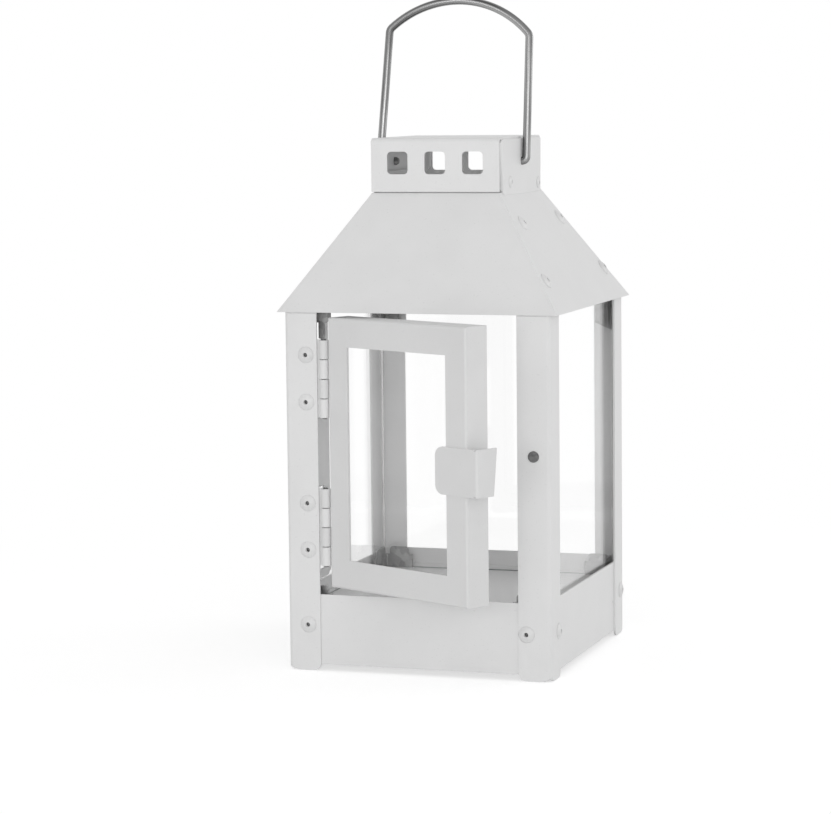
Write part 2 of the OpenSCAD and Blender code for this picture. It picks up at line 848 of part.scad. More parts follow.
// Latch tab: strip on the free stile, folded back past the door's edge. Its outer leg
// is cut off aslant and two small holes relieve the fold.
module door_tab() color("#d6d6d9") swung() {
    edge = door_x + door_w;
    long = tab_in + tab_out;
    relief = 0.6;
    translate([edge + tab_out, -half_d - sheet, tab_mid - tab_h / 2]) mirror([1, 0, 0])
        difference() {
            linear_extrude(tab_h) difference() {
                corner_square([long, tab_leg_top], tab_bend);
                translate([sheet, sheet]) corner_square(long, tab_bend - sheet);
            }
            translate([long, -cut, 0])
                stand_y(sheet + 2 * cut) mirror([1, 0]) corner_sliver(tab_round);
            translate([long, -cut, tab_h])
                stand_y(sheet + 2 * cut) rotate(180) corner_sliver(tab_round);
            translate([-cut, 0, 0]) stand_x(sheet + 2 * cut)
                polygon([[tab_leg_low, 0], [tab_leg_top, tab_h], [big, tab_h], [big, -cut],
                         [tab_leg_low, -cut]]);
            for (z = [0, tab_h]) translate([sheet + relief, -cut, z])
                rotate([-90, 0, 0]) cylinder(r = relief, h = sheet + 2 * cut);
        }
}

// One knuckle of four, counted from the lower end of a hinge standing at z.
module knuckle(z, i, dir, reach) {
    pitch = hinge_h / 4;
    from = z + i * pitch + knuckle_gap / 2;
    len = pitch - knuckle_gap;
    translate([hinge_x, hinge_y, from]) cylinder(r = knuckle_r, h = len);
    translate([dir > 0 ? hinge_x : hinge_x - reach, leaf_y, from]) cube([reach, sheet, len]);
}

module pin_bore(z) {
    translate([hinge_x, hinge_y, z - cut]) cylinder(r = pin_r + pin_fit, h = hinge_h + 2 * cut);
}

module post_leaf(z) {
    difference() {
        union() {
            translate([hinge_x - leaf_tongue - leaf_post, leaf_y, z])
                cube([leaf_post, sheet, hinge_h]);
            for (i = [0, 2]) knuckle(z, i, -1, leaf_tongue + cut);
        }
        pin_bore(z);
        at_hinge_rivets() rivet_hole();
    }
}

module door_leaf(z) {
    difference() {
        union() {
            translate([hinge_x + leaf_tongue, leaf_y, z]) cube([leaf_door, sheet, hinge_h]);
            for (i = [1, 3]) knuckle(z, i, 1, leaf_tongue + cut);
        }
        pin_bore(z);
    }
}

module hinge_upper_post_leaf() color("#dcdcde") post_leaf(hinge_up);

module hinge_lower_post_leaf() color("#dcdcde") post_leaf(hinge_low);

module hinge_upper_door_leaf() color("#cdcdd0") swung() door_leaf(hinge_up);

module hinge_lower_door_leaf() color("#cdcdd0") swung() door_leaf(hinge_low);

module hinge_pins() color("#8b8d90") {
    proud = 0.3;
    for (z = [hinge_low, hinge_up]) translate([hinge_x, hinge_y, z - proud])
        cylinder(r = pin_r, h = hinge_h + 2 * proud);
}

module catch_disc() color("#6c6d70") {
    translate([catch_x, -half_d - catch_proud, catch_z])
        rotate([-90, 0, 0]) cylinder(r = catch_r, h = catch_len);
}

module rivets_base() color("#dadadc") at_base_rivets() rivet();

module rivets_hinge() color("#dadadc") at_hinge_rivets() rivet();

module rivets_roof() color("#dadadc") {
    at_roof_rivets_right() rivet();
    mirror([1, 0, 0]) at_roof_rivets_right() rivet();
}

module rivets_cap() color("#dadadc") {
    at_cap_rivets_right() cap_rivet();
    mirror([1, 0, 0]) at_cap_rivets_right() cap_rivet();
}

post_front_left();
post_front_right();
post_back_left();
post_back_right();
base_front();
base_back();
base_left();
base_right();
floor_plate();
pane_left();
pane_right();
pane_back();
corner_brackets();
corner_clips();
roof_front();
roof_back();
roof_left();
roof_right();
cap_cover();
cap_side_left();
cap_side_right();
handle();
door_frame();
door_pane();
door_clips();
door_tab();
hinge_upper_post_leaf();
hinge_lower_post_leaf();
hinge_upper_door_leaf();
hinge_lower_door_leaf();
hinge_pins();
catch_disc();
rivets_base();
rivets_hinge();
rivets_roof();
rivets_cap();
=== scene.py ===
"""Small square candle lantern of white powder-coated sheet, seen on a white floor.

Lengths are in metres. X runs right along the front, the door faces -Y, Z is up and
the origin lies on the ground between the feet. Local work is done in millimetres
and turned to metres where a mesh is made.
"""

import json

import bmesh
import bpy
import numpy as np
from mathutils import Matrix, Vector


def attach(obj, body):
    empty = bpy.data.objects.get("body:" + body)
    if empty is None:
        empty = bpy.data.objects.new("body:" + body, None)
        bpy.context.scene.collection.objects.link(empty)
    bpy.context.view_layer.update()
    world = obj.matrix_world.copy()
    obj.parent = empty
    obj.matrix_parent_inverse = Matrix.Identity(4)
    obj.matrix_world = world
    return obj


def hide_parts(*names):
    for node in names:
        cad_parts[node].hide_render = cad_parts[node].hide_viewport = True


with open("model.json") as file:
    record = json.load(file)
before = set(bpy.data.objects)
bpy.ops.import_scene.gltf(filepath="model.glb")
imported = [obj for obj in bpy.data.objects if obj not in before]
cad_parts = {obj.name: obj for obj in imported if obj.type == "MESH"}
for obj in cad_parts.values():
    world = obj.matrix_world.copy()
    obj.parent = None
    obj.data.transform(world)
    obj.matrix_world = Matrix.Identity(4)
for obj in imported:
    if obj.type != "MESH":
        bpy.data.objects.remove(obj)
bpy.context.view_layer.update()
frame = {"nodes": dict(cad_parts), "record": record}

MM = 0.001
SLOTS = {part["node"]: part["material_slot"] for part in frame["record"]["subparts"]}
BODY_OF = {node: body for body, nodes in frame["record"]["behaviour"]["bodies"].items()
           for node in nodes}

# The lantern's own sizes, in millimetres, and its angles, as in the construction.
HALF_W, HALF_D = 54.0, 57.0
EAVE_HALF, EAVE_Z = 57.0, 142.3
ROOF_TOP_HALF, ROOF_TOP_Z = 26.4, 188.0
CAP_HALF_W = 27.2
HINGE = np.array([-37.63, -57.2])
DOOR_OPEN = np.radians(27.2)
PIVOT_Z = 199.8
HANDLE_LEAN = np.radians(6.5)
WIRE_RADIUS = 1.6

# Easing, in millimetres: how wide the small round on a cut edge is, how near two
# points are one, and how far a pane is drawn in from what holds it. An edge between
# faces that turn by less than FLAT is no edge, and one past SHARP gets a round.
SHEET_EASE, FITTING_EASE, PANE_EASE = 0.2, 0.15, 0.12
SAME_POINT, PANE_AIR = 0.002, 0.05
FLAT, SHARP = np.radians([0.5, 30])


def linear(hexcode):
    """Turns an sRGB hex colour to linear light: v/12.92 below 0.04045, else
    ((v + 0.055)/1.055) to the power 2.4."""
    v = np.array([int(hexcode[i:i + 2], 16) for i in (1, 3, 5)]) / 255
    v = np.where(v <= 0.04045, v / 12.92, ((v + 0.055) / 1.055) ** 2.4)
    return (*v.tolist(), 1.0)


def add(tree, kind, inputs=None, stops=(), **settings):
    """Adds one node, sets its settings and, on a colour ramp, its two or more
    (position, hex colour) stops, and gives its inputs a value or a link."""
    node = tree.nodes.new(kind)
    for name, value in settings.items():
        setattr(node, name, value)
    for name, value in (inputs or {}).items():
        if isinstance(value, bpy.types.NodeSocket):
            tree.links.new(value, node.inputs[name])
        else:
            node.inputs[name].default_value = value
    for _ in stops[2:]:
        node.color_ramp.elements.new(0.5)
    for k, (position, hexcode) in enumerate(stops):
        node.color_ramp.elements[k].position = position
        node.color_ramp.elements[k].color = linear(hexcode)
    return node


def new_material(name):
    """A material with an empty node tree, and that tree."""
    mat = bpy.data.materials.new(name)
    mat.use_nodes = True
    mat.node_tree.nodes.clear()
    return mat, mat.node_tree


def powder_coat(name, light, dark, roughness):
    """White powder coat, sprayed and baked: an even satin white with a fine orange
    peel, faint clouding in the film and a little dust."""
    mat, tree = new_material(name)
    place = add(tree, "ShaderNodeTexCoord").outputs["Object"]
    # clouds in the film, about 30 mm across
    cloud = add(tree, "ShaderNodeTexNoise",
                {"Vector": place, "Scale": 33.0, "Detail": 3.0, "Roughness": 0.55})
    film = add(tree, "ShaderNodeValToRGB", {"Fac": cloud.outputs["Fac"]},
               stops=((0.32, dark), (0.62, light)))
    # dust and fine specks, about 0.8 mm across, a little coarser than real ones
    dust = add(tree, "ShaderNodeTexNoise",
               {"Vector": place, "Scale": 1250.0, "Detail": 1.0})
    speck = add(tree, "ShaderNodeMapRange",
                {"Value": dust.outputs["Fac"], "From Min": 0.68, "From Max": 0.8,
                 "To Min": 0.0, "To Max": 0.22})
    colour = add(tree, "ShaderNodeMix",
                 {"Factor": speck.outputs["Result"], "A": film.outputs["Color"],
                  "B": linear("#b8b8b8")}, data_type="RGBA")
    # orange peel, 1.6 mm from crest to crest and a few micrometres deep
    peel = add(tree, "ShaderNodeTexNoise",
               {"Vector": place, "Scale": 625.0, "Detail": 2.0})
    bump = add(tree, "ShaderNodeBump",
               {"Height": peel.outputs["Fac"], "Strength": 0.35, "Distance": 0.00004})
    rough = add(tree, "ShaderNodeMapRange",
                {"Value": cloud.outputs["Fac"], "From Min": 0.3, "From Max": 0.7,
                 "To Min": roughness - 0.05, "To Max": roughness + 0.06})
    coat = add(tree, "ShaderNodeBsdfPrincipled",
               {"Base Color": colour.outputs["Result"],
                "Roughness": rough.outputs["Result"], "Normal": bump.outputs["Normal"],
                "IOR": 1.5, "Specular IOR Level": 0.45})
    add(tree, "ShaderNodeOutputMaterial", {"Surface": coat.outputs["BSDF"]})
    return mat


def galvanised_sheet(name, metal):
    """Hot-dip galvanised sheet, cut and bent without paint: dull grey zinc with the
    spangle of its crystals, a little rougher from grain to grain. The share metal is 1
    for bright zinc, and less where white rust dulls it."""
    mat, tree = new_material(name)
    place = add(tree, "ShaderNodeTexCoord").outputs["Object"]
    # spangles 2.5 mm across
    spangle = add(tree, "ShaderNodeTexVoronoi", {"Vector": place, "Scale": 400.0})
    grey = add(tree, "ShaderNodeSeparateColor", {"Color": spangle.outputs["Color"]})
    tone = add(tree, "ShaderNodeValToRGB", {"Fac": grey.outputs["Red"]},
               stops=((0.0, "#797979"), (0.55, "#8d8d8d"), (1.0, "#a5a5a5")))
    rough = add(tree, "ShaderNodeMapRange",
                {"Value": grey.outputs["Green"], "To Min": 0.38, "To Max": 0.58})
    # the bath's ripple, about 1 mm from crest to crest
    ripple = add(tree, "ShaderNodeTexNoise",
                 {"Vector": place, "Scale": 900.0, "Detail": 2.0})
    bump = add(tree, "ShaderNodeBump",
               {"Height": ripple.outputs["Fac"], "Strength": 0.2, "Distance": 0.00005})
    zinc = add(tree, "ShaderNodeBsdfPrincipled",
               {"Base Color": tone.outputs["Color"], "Metallic": metal,
                "Roughness": rough.outputs["Result"], "Normal": bump.outputs["Normal"]})
    add(tree, "ShaderNodeOutputMaterial", {"Surface": zinc.outputs["BSDF"]})
    return mat


def drawn_wire(name):
    """Bright drawn steel wire: grey metal with die lines and scratches along its
    length; their dark and light stripes are partly painted reflection of the room in
    the round wire. Reads the piece's own UV map, millimetres along by turns around."""
    mat, tree = new_material(name)
    turn = add(tree, "ShaderNodeUVMap", uv_map="wire").outputs["UV"]
    # die lines about 80 mm long; real ones are a tenth of a millimetre wide, these
    # about one millimetre, so that they show. Their dark and light stripes also stand
    # in for the reflection running along the round wire: partly painted reflection
    lines = add(tree, "ShaderNodeMapping", {"Vector": turn, "Scale": (0.012, 9.0, 1.0)})
    die_lines_and_reflections = add(tree, "ShaderNodeTexNoise",
                 {"Vector": lines.outputs["Vector"], "Scale": 1.0, "Detail": 3.0,
                  "Roughness": 0.6})
    tone = add(tree, "ShaderNodeValToRGB", {"Fac": die_lines_and_reflections.outputs["Fac"]},
               stops=((0.36, "#4c4c4c"), (0.47, "#808080"), (0.6, "#a8a8a8")))
    rough = add(tree, "ShaderNodeMapRange",
                {"Value": die_lines_and_reflections.outputs["Fac"], "From Min": 0.35, "From Max": 0.6,
                 "To Min": 0.42, "To Max": 0.26})
    bump = add(tree, "ShaderNodeBump",
               {"Height": die_lines_and_reflections.outputs["Fac"], "Strength": 0.3, "Distance": 0.00006})
    steel = add(tree, "ShaderNodeBsdfPrincipled",
                {"Base Color": tone.outputs["Color"], "Metallic": 1.0,
                 "Roughness": rough.outputs["Result"],
                 "Normal": bump.outputs["Normal"]})
    add(tree, "ShaderNodeOutputMaterial", {"Surface": steel.outputs["BSDF"]})
    return mat


def plain_steel(name, light, dark, roughness):
    """Bare low-carbon steel, sheared and left unpainted: dull grey, small stains."""
    mat, tree = new_material(name)
    place = add(tree, "ShaderNodeTexCoord").outputs["Object"]
    # stains about 1 mm across
    stain = add(tree, "ShaderNodeTexNoise",
                {"Vector": place, "Scale": 1000.0, "Detail": 3.0})
    tone = add(tree, "ShaderNodeValToRGB", {"Fac": stain.outputs["Fac"]},
               stops=((0.3, dark), (0.7, light)))
    bump = add(tree, "ShaderNodeBump",
               {"Height": stain.outputs["Fac"], "Strength": 0.2, "Distance": 0.00005})
    steel = add(tree, "ShaderNodeBsdfPrincipled",
                {"Base Color": tone.outputs["Color"], "Metallic": 1.0,
                 "Roughness": roughness, "Normal": bump.outputs["Normal"]})
    add(tree, "ShaderNodeOutputMaterial", {"Surface": steel.outputs["BSDF"]})
    return mat


def float_glass(name):
    """Clear float glass, 2 mm: nearly unseen face on, a mirror near grazing, with a
    breath of dust. It mirrors less than bare glass, because the room around it is
    white on every side and would veil what stands behind the pane."""
    mat, tree = new_material(name)
    place = add(tree, "ShaderNodeTexCoord").outputs["Object"]
    # smears of dust 15 mm across, felt only in the gloss
    dust = add(tree, "ShaderNodeTexNoise",
               {"Vector": place, "Scale": 66.0, "Detail": 4.0})
    haze = add(tree, "ShaderNodeMapRange",
               {"Value": dust.outputs["Fac"], "From Min": 0.4, "From Max": 0.75,
                "To Min": 0.0, "To Max": 0.03})
    pane = add(tree, "ShaderNodeBsdfPrincipled",
               {"Base Color": linear("#ffffff"), "Roughness": haze.outputs["Result"],
                "IOR": 1.45, "Specular IOR Level": 0.12, "Transmission Weight": 1.0})
    # what lights the lantern's inside passes straight through, a little dimmed
    clear = add(tree, "ShaderNodeBsdfTransparent", {"Color": linear("#fafafa")})
    path = add(tree, "ShaderNodeLightPath")
    lighting = add(tree, "ShaderNodeMath",
                   {0: path.outputs["Is Shadow Ray"],
                    1: path.outputs["Is Diffuse Ray"]}, operation="MAXIMUM")
    glass = add(tree, "ShaderNodeMixShader",
                {"Fac": lighting.outputs["Value"], 1: pane.outputs["BSDF"],
                 2: clear.outputs["BSDF"]})
    add(tree, "ShaderNodeOutputMaterial", {"Surface": glass.outputs["Shader"]})
    return mat


def ground_edge(name):
    """The panes' cut edges, ground with a belt: a dull grey green that lets no light
    through, with grinding marks across it."""
    mat, tree = new_material(name)
    place = add(tree, "ShaderNodeTexCoord").outputs["Object"]
    # grinding marks 1 mm apart up the edge, coarser than real ones so that they show
    marks = add(tree, "ShaderNodeMapping",
                {"Vector": place, "Scale": (60.0, 60.0, 1000.0)})
    grain = add(tree, "ShaderNodeTexNoise",
                {"Vector": marks.outputs["Vector"], "Scale": 1.0, "Detail": 2.0})
    tone = add(tree, "ShaderNodeValToRGB", {"Fac": grain.outputs["Fac"]},
               stops=((0.3, "#68706c"), (0.7, "#7f8783")))
    dull = add(tree, "ShaderNodeBsdfPrincipled",
               {"Base Color": tone.outputs["Color"], "Roughness": 0.55, "IOR": 1.45})
    add(tree, "ShaderNodeOutputMaterial", {"Surface": dull.outputs["BSDF"]})
    return mat


WHITE = powder_coat("powder_coat_white", light="#e3e3e3", dark="#dfdfdf",
                    roughness=0.42)
# The door, its tab and its hinge leaves take the same white paint a shade darker:
# painted shade, for the door's face turned away from the lamps.
WHITE_DOOR_SHADED = powder_coat("powder_coat_white_door_shaded", light="#dcdcdc", dark="#d8d8d8",
                         roughness=0.44)
WHITE_RIVET = powder_coat("powder_coat_white_rivets", light="#e0e0e0", dark="#d7d7d7",
                          roughness=0.36)
ZINC = galvanised_sheet("galvanised_sheet", metal=1.0)
ZINC_DULL = galvanised_sheet("galvanised_sheet_dull", metal=0.3)
WIRE = drawn_wire("drawn_steel_wire")
STUB = plain_steel("sheared_steel_mandrel", light="#757575", dark="#4d4d4d",
                   roughness=0.5)
DISC = plain_steel("dark_steel_disc", light="#797979", dark="#5b5b5b", roughness=0.42)
GLASS = float_glass("float_glass")
GROUND = ground_edge("ground_glass_edge")
# The finish that an eased piece takes from its slot, unless it is given its own.
FINISH = {"white_paint": WHITE, "clear_glass": GLASS, "galvanised": ZINC,
          "steel_wire": STUB, "dark_steel": DISC}


def new_object(name, mesh, body, slot, *materials):
    """Puts a finished mesh, with its materials, on a body; slot is not used."""
    obj = bpy.data.objects.new(name, mesh)
    bpy.context.scene.collection.objects.link(obj)
    for mat in materials:
        mesh.materials.append(mat)
    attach(obj, body)
    return obj


def ring_cells(rings, turns):
    """Faces of a tube of rings with turns points each: every cell joins (i, j),
    (i+1, j), (i+1, j+1), (i, j+1), and the last column runs on to the first."""
    i, j = np.meshgrid(np.arange(rings - 1), np.arange(turns), indexing="ij")
    on = (j + 1) % turns
    return np.stack([i * turns + j, (i + 1) * turns + j, (i + 1) * turns + on,
                     i * turns + on], -1).reshape(-1, 4)


def mesh_from(name, points, faces, ends=()):
    """A smooth mesh from points in millimetres and quads, with one more face for each
    of the ends."""
    mesh = bpy.data.meshes.new(name)
    mesh.from_pydata((points.reshape(-1, 3) * MM).tolist(), [],
                     [*faces.tolist(), *ends])
    mesh.polygons.foreach_set("use_smooth", [True] * len(mesh.polygons))
    mesh.update()
    return mesh


def faced_out(mesh, merge=None):
    """Merges points that lie within merge metres, if given, and turns every face
    outwards."""
    work = bmesh.new()
    work.from_mesh(mesh)
    if merge:
        bmesh.ops.remove_doubles(work, verts=work.verts, dist=merge)
    bmesh.ops.recalc_face_normals(work, faces=work.faces)
    work.to_mesh(mesh)
    work.free()


def eased(name, width, material=None, moved=None, trimmed=None, edge=None):
    """A copy of a folded-sheet node with its cut edges eased: doubles merged, flat
    triangles joined, and a small round on every sharp edge. The function trimmed, if
    given, cuts the copy, and moved shifts its points, in millimetres. With a material
    edge, all but the two largest faces take it, and the whole is drawn in by a
    hair."""
    mesh = frame["nodes"][name].data.copy()
    mesh.name = name + "_eased"
    work = bmesh.new()
    work.from_mesh(mesh)
    bmesh.ops.remove_doubles(work, verts=work.verts, dist=SAME_POINT * MM)
    bmesh.ops.dissolve_limit(work, angle_limit=FLAT, verts=work.verts,
                             edges=work.edges)
    if trimmed:
        trimmed(work)
    for face in work.faces:
        face.material_index = 0
    if edge:
        for face in sorted(work.faces, key=lambda f: f.calc_area())[:-2]:
            face.material_index = 1
    work.to_mesh(mesh)
    work.free()
    if moved:
        points = np.empty(len(mesh.vertices) * 3)
        mesh.vertices.foreach_get("co", points)
        points = moved(points.reshape(-1, 3) / MM) * MM
        mesh.vertices.foreach_set("co", points.ravel())
    mesh.materials.clear()
    mesh.polygons.foreach_set("use_smooth", [True] * len(mesh.polygons))
    slot = SLOTS[name]
    obj = new_object(name + "_eased", mesh, BODY_OF[name], slot,
                     material or FINISH[slot], *([edge] if edge else []))
    if edge:
        # air round the glass, so that it shares no face with what holds it
        air = obj.modifiers.new("air", "DISPLACE")
        air.mid_level = 0
        air.strength = -PANE_AIR * MM
    bevel = obj.modifiers.new("edge", "BEVEL")
    bevel.width = width * MM
    bevel.segments = 2
    bevel.limit_method = "ANGLE"
    bevel.angle_limit = SHARP
    bevel.material = 1 if edge else -1
    flat = obj.modifiers.new("flat", "WEIGHTED_NORMAL")
    flat.keep_sharp = True
    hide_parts(name)


# A post's foot: how far out and how high its round reaches, in millimetres, and the
# angles at which the cutting planes touch it.
FOOT_OUT, FOOT_HIGH = 5.3, 3.7
FOOT_TOUCH = np.radians([10, 26, 44, 62, 80])


def rounded_foot(side, front):
    """Cuts the foot of one post's fold round, in planes that touch an ellipse FOOT_OUT
    out along both flanges and FOOT_HIGH high: s = out(1 - cos t), z = high(1 - sin t),
    where s is the way from the fold's outer edge."""
    def cut(work):
        for t in FOOT_TOUCH:
            out, high = FOOT_OUT * (1 - np.cos(t)), FOOT_HIGH * (1 - np.sin(t))
            slope = np.cos(t) / FOOT_OUT
            bmesh.ops.bisect_plane(
                work, geom=[*work.verts, *work.edges, *work.faces], dist=1e-7,
                plane_co=Vector((side * (HALF_W - out), front * HALF_D, high)) * MM,
                plane_no=Vector((-side * slope, -front * slope, np.sin(t) / FOOT_HIGH)),
                clear_inner=True)
            rim = [e for e in work.edges if e.is_boundary]
            bmesh.ops.holes_fill(work, edges=rim, sides=0)
    return cut


# The cap's upright folds, in millimetres: the height at which they start to open, how
# far they run down from there, the depth beyond which they stand, and how far each
# springs open at its foot.
FOLD_TOP, FOLD_DROP, FOLD_Y = 208.0, 19.0, 27.0
SPRING_FRONT, SPRING_BACK = 3.1, 0.6


def sprung_folds(points):
    """The cap's side pans as folded by hand: each upright fold stands clear of the
    cover by a wedge that is closed at the top and opens evenly to the foot, wider in
    front than behind."""
    x, y, z = points.T
    fall = np.clip((FOLD_TOP - z) / FOLD_DROP, 0, 1)
    y = (y + np.where(y < -FOLD_Y, SPRING_FRONT * fall, 0)
         - np.where(y > FOLD_Y, SPRING_BACK * fall, 0))
    return np.stack([x, y, z], -1)


# The jamb's return, in millimetres: it lies right of JAMB_X and above JAMB_FOOT, its
# rear edge behind JAMB_REAR and its lower edge below JAMB_LOW.
JAMB_X, JAMB_FOOT, JAMB_REAR, JAMB_LOW = -41.6, 30.0, -45.0, 45.0
JAMB_BACK, JAMB_DOWN = 1.0, 1.6


def deep_jamb(points):
    """The jamb's return on the hinge post, its rear edge moved back by JAMB_BACK and
    its lower edge down by JAMB_DOWN."""
    x, y, z = points.T
    inner = (x > JAMB_X) & (z > JAMB_FOOT)
    return np.stack([x, y + np.where(inner & (y > JAMB_REAR), JAMB_BACK, 0),
                     z - np.where(inner & (z < JAMB_LOW), JAMB_DOWN, 0)], -1)


# The door's hinge-side fold, in millimetres: the way from the axis within which it
# lies, and how far it moves.
STILE_REACH, STILE_CLOSER = 6.0, 0.75


def close_stile(points):
    """The door turned back to shut about the hinge axis, its hinge-side fold moved
    STILE_CLOSER towards the axis, and turned open again."""
    x, y = points[:, 0] - HINGE[0], points[:, 1] - HINGE[1]
    c, s = np.cos(DOOR_OPEN), np.sin(DOOR_OPEN)
    across, back = x * c - y * s, x * s + y * c
    across = across - np.where(across < STILE_REACH, STILE_CLOSER, 0)
    return np.stack([HINGE[0] + across * c + back * s,
                     HINGE[1] - across * s + back * c, points[:, 2]], -1)


for node, side, front in (("post_front_right", 1, -1), ("post_back_left", -1, 1),
                          ("post_back_right", 1, 1)):
    eased(node, SHEET_EASE, trimmed=rounded_foot(side, front))
for node in ("base_front", "base_back", "base_left", "base_right", "floor_plate",
             "roof_front", "roof_back", "roof_left", "roof_right", "cap_cover",
             "hinge_upper_post_leaf", "hinge_lower_post_leaf"):
    eased(node, SHEET_EASE)
for node in ("cap_side_left", "cap_side_right"):
    eased(node, SHEET_EASE, moved=sprung_folds)
eased("post_front_left", SHEET_EASE, moved=deep_jamb, trimmed=rounded_foot(-1, -1))
eased("door_frame", SHEET_EASE, WHITE_DOOR_SHADED, moved=close_stile)
for node in ("door_tab", "hinge_upper_door_leaf", "hinge_lower_door_leaf"):
    eased(node, SHEET_EASE, WHITE_DOOR_SHADED)
for node in ("corner_brackets", "hinge_pins", "catch_disc"):
    eased(node, FITTING_EASE)
for node in ("corner_clips", "door_clips"):
    eased(node, FITTING_EASE, ZINC_DULL)
for node in ("pane_left", "pane_right", "pane_back", "door_pane"):
    eased(node, PANE_EASE, edge=GROUND)


# Blind rivets, in millimetres: the head's radius and rise, and the radii of the
# shank, of the mandrel's hole and of the set tail. The head ends in a rim.
BODY_RIVET = {"head": 3.25, "rise": 1.15, "shank": 1.6, "hole": 0.87, "tail": 2.3}
CAP_RIVET = {"head": 2.3, "rise": 0.85, "shank": 1.2, "hole": 0.65, "tail": 1.9}
RIM = 0.12
RIVET_TURNS = 32
FRONT, BACK, RIGHT, LEFT = (0, -1, 0), (0, 1, 0), (1, 0, 0), (-1, 0, 0)


def rivet_profile(head, rise, shank, hole, tail):
    """Radius and height of one blind rivet, outward along its axis: the sheared stub
    of the mandrel, the hole's wall, the dome (rise times one less the square of the
    part of the head's radius, on a thin rim), the shank and the set tail. Also gives
    how many points belong to the stub."""
    part = np.linspace(hole / head + 0.06, 1.0, 9)
    dome = np.stack([head * part, (rise - RIM) * (1 - part ** 2) + RIM], -1)
    crest = dome[0, 1]
    stub = [(0.0, 0.3 * rise), (0.5 * hole, 0.26 * rise), (0.76 * hole, 0.14 * rise),
            (0.8 * hole, -0.1)]
    wall = [(0.98 * hole, -0.14), (hole, 0.8 * crest), (1.06 * hole, 0.96 * crest)]
    under = [(head, 0.03), (head - 0.05, 0.0), (shank, 0.0), (shank, -1.6)]
    set_tail = [(tail - 0.05, -1.62), (tail, -1.9), (tail - 0.1, -2.5),
                (0.72 * tail, -2.75), (0.0, -2.8)]
    return np.array([*stub, *wall, *dome.tolist(), *under, *set_tail]), len(stub)


def rivets(name, places, sizes=BODY_RIVET):
    """Blind rivets as surfaces of revolution: x = r cos a, y = r sin a, z = h along
    each rivet's own axis, set at each place with z along its outward direction."""
    profile, of_stub = rivet_profile(**sizes)
    a = np.linspace(0, 2 * np.pi, RIVET_TURNS, endpoint=False)
    one = np.stack([profile[:, :1] * np.cos(a), profile[:, :1] * np.sin(a),
                    np.broadcast_to(profile[:, 1:], (len(profile), RIVET_TURNS))],
                   -1).reshape(-1, 3)
    cells = ring_cells(len(profile), RIVET_TURNS)[:, ::-1]
    points, faces = [], []
    for k, (centre, out) in enumerate(places):
        basis = np.array(Vector((0, 0, 1)).rotation_difference(Vector(out)).to_matrix())
        points.append(one @ basis.T + np.array(centre))
        faces.append(cells + k * len(one))
    mesh = mesh_from(name, np.concatenate(points), np.concatenate(faces))
    obj = new_object(name + "_set", mesh, "body", SLOTS[name], WHITE_RIVET, STUB)
    steel = (np.arange(len(cells)) // RIVET_TURNS < of_stub).astype(int)
    mesh.polygons.foreach_set("material_index", np.tile(steel, len(places)).tolist())
    faced_out(mesh, merge=1e-6)
    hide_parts(name)


# Rivet places, in millimetres. The base's lie in one row, the hinges' in pairs above
# each leaf's foot, and those of the roof and the cap are given as (y, z).
BASE_ROW_Z, FRONT_ROW_X, SIDE_ROW_Y = 18.4, (-45.7, 44.0), (-46.1, 52.5)
HINGE_ROW_X, HINGE_FOOT_Z, HINGE_PAIR_UP = -45.3, (42.2, 100.85), (6.1, 24.7)
ROOF_PLACES = ((-24.7, 176), (-42.6, 154.6), (30, 176), (45.7, 154.6))
CAP_PLACES = ((-16.8, 191.95), (23.6, 190.4))
SLOPE = np.arctan((EAVE_HALF - ROOF_TOP_HALF) / (ROOF_TOP_Z - EAVE_Z))

rivets("rivets_base",
       [((x, -HALF_D, BASE_ROW_Z), FRONT) for x in FRONT_ROW_X]
       + [((x, HALF_D, BASE_ROW_Z), BACK) for x in FRONT_ROW_X]
       + [((HALF_W, y, BASE_ROW_Z), RIGHT) for y in SIDE_ROW_Y]
       + [((-HALF_W, y, BASE_ROW_Z), LEFT) for y in SIDE_ROW_Y])
rivets("rivets_hinge",
       [((HINGE_ROW_X, -HALF_D, z + up), FRONT)
        for z in HINGE_FOOT_Z for up in HINGE_PAIR_UP])
rivets("rivets_roof",
       [((side * (EAVE_HALF - (z - EAVE_Z) * np.tan(SLOPE)), y, z),
         (side * np.cos(SLOPE), 0, np.sin(SLOPE)))
        for side in (1, -1) for y, z in ROOF_PLACES])
rivets("rivets_cap",
       [((side * CAP_HALF_W, y, z), (side, 0, 0))
        for side in (1, -1) for y, z in CAP_PLACES], CAP_RIVET)


# The handle's wire, in millimetres: how high the arch's middle line rises over the
# pivot, the radius of the lower bends, how far left of the lantern's middle the loop
# sits, and how far from a tip its round starts. Then the points along each stretch
# and round the wire.
BAIL_HIGH, LEG_BEND, BAIL_LEFT, TIP_ROUND = 64.6, 1.65, 1.28, 0.5
ARCH_POINTS, SHOULDER_POINTS, LEG_POINTS, BEND_POINTS, END_POINTS = 40, 14, 24, 12, 8
WIRE_TURNS = 24


def arc(centre, radius, start, end, count):
    """Points on a circle from angle start to end in degrees: centre + radius times
    (cos a, sin a)."""
    a = np.radians(np.linspace(start, end, count))
    return np.stack([centre[0] + radius * np.cos(a), centre[1] + radius * np.sin(a)],
                    -1)


